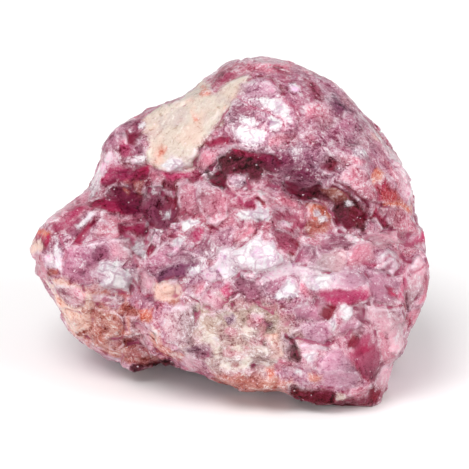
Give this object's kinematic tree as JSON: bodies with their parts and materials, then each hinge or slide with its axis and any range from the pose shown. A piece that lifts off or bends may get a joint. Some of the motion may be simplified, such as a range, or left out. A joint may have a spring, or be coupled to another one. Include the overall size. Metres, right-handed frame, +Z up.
{
  "type": "raw lepidolite stone",
  "caption": "Raw broken lump of pink and lilac lepidolite mica with a smooth rounded dome, a dark recess and a blocky crystal front.",
  "frame": {"origin": "middle of the stone's box, on the surface that it rests on", "axes": "+X along its length, from the thin wing on the left to the blocky right end; -Y is the crystal front; +Z up"},
  "size_m": [0.06, 0.0512, 0.0458],
  "materials": {
    "lepidolite": "pink to lilac mica, pearly on its flat faces and matt and granular between them"
  },
  "bodies": {
    "root": {"lepidolite_stone": "lepidolite"}
  },
  "joints": []
}
